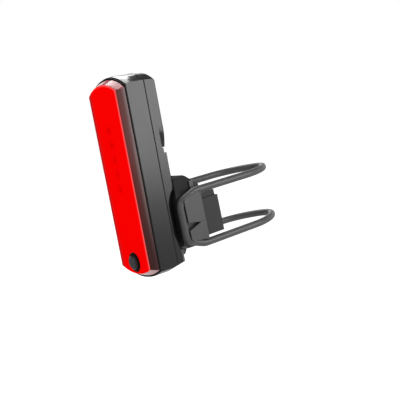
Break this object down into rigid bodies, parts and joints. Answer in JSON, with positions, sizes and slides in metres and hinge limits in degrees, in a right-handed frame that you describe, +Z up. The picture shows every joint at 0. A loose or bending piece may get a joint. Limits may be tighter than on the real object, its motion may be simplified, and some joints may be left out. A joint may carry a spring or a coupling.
{
  "type": "bike rear light",
  "caption": "Slim bar rear light with a bevelled red lens and push button, sliding on a clip bracket that a rubber ring holds to a flat-backed seat post.",
  "frame": {"origin": "centre of the saddle pad's face on the post", "axes": "+Z up along the light, +Y from the light into the post, +X to the right seen from behind the light"},
  "size_m": [0.0312, 0.0785, 0.0837],
  "materials": {
    "lens_clear": "clear smoky red, polished",
    "lens_red": "bright red diffusing plastic",
    "black_rubber": "matte black rubber",
    "housing_plastic": "satin dark grey moulded plastic",
    "bracket_plastic": "satin dark grey glass-filled plastic",
    "white_plastic": "white moulded plastic",
    "board_white": "white solder mask",
    "board_green": "green solder mask",
    "lamp_yellow": "lamp packages with a phosphor well",
    "chip_black": "black moulded chip packages",
    "screw_steel": "plain steel",
    "foil_silver": "soft foil pouch",
    "foam_grey": "grey foam",
    "lead_red": "red lead sheath",
    "lead_black": "black lead sheath",
    "connector_ivory": "ivory connector plastic",
    "button_black": "satin black rubber"
  },
  "bodies": {
    "bracket": {"bracket": "bracket_plastic", "saddle_pad": "black_rubber", "post_ring": "black_rubber"},
    "light": {"lens": "lens_clear", "lens_seal": "black_rubber", "diffuser": "lens_red", "lamp_frame": "white_plastic", "lamp_board": "board_white", "lamps": "lamp_yellow", "front_housing": "housing_plastic", "housing_seal": "black_rubber", "rear_cover": "housing_plastic", "cover_screws": "screw_steel", "main_board": "board_green", "board_parts": "chip_black", "board_link": "connector_ivory", "board_screws": "screw_steel", "usb_shell": "screw_steel", "usb_tongue": "chip_black", "usb_cover_anchor": "black_rubber", "battery": "foil_silver", "battery_pad": "foam_grey", "lead_plus": "lead_red", "lead_minus": "lead_black", "switch_body": "chip_black", "button_bezel": "black_rubber"},
    "button": {"power_button": "button_black", "switch_plunger": "connector_ivory"},
    "port_cover": {"usb_cover": "black_rubber"}
  },
  "joints": [
    {"name": "light_slide", "type": "slide", "parent": "bracket", "child": "light", "axis": [0, 0, 1], "range_m": [0, 0.027]},
    {"name": "button_press", "type": "slide", "parent": "light", "child": "button", "axis": [0, 1, 0], "range_m": [0, 0.0005], "stiffness_N_per_m": 1500, "springref_m": -0.0003},
    {"name": "port_cover_hinge", "type": "hinge", "parent": "light", "child": "port_cover", "pos_m": [0, -0.0145, 0.04525], "axis": [1, 0, 0], "range_deg": [0, 100]}
  ]
}
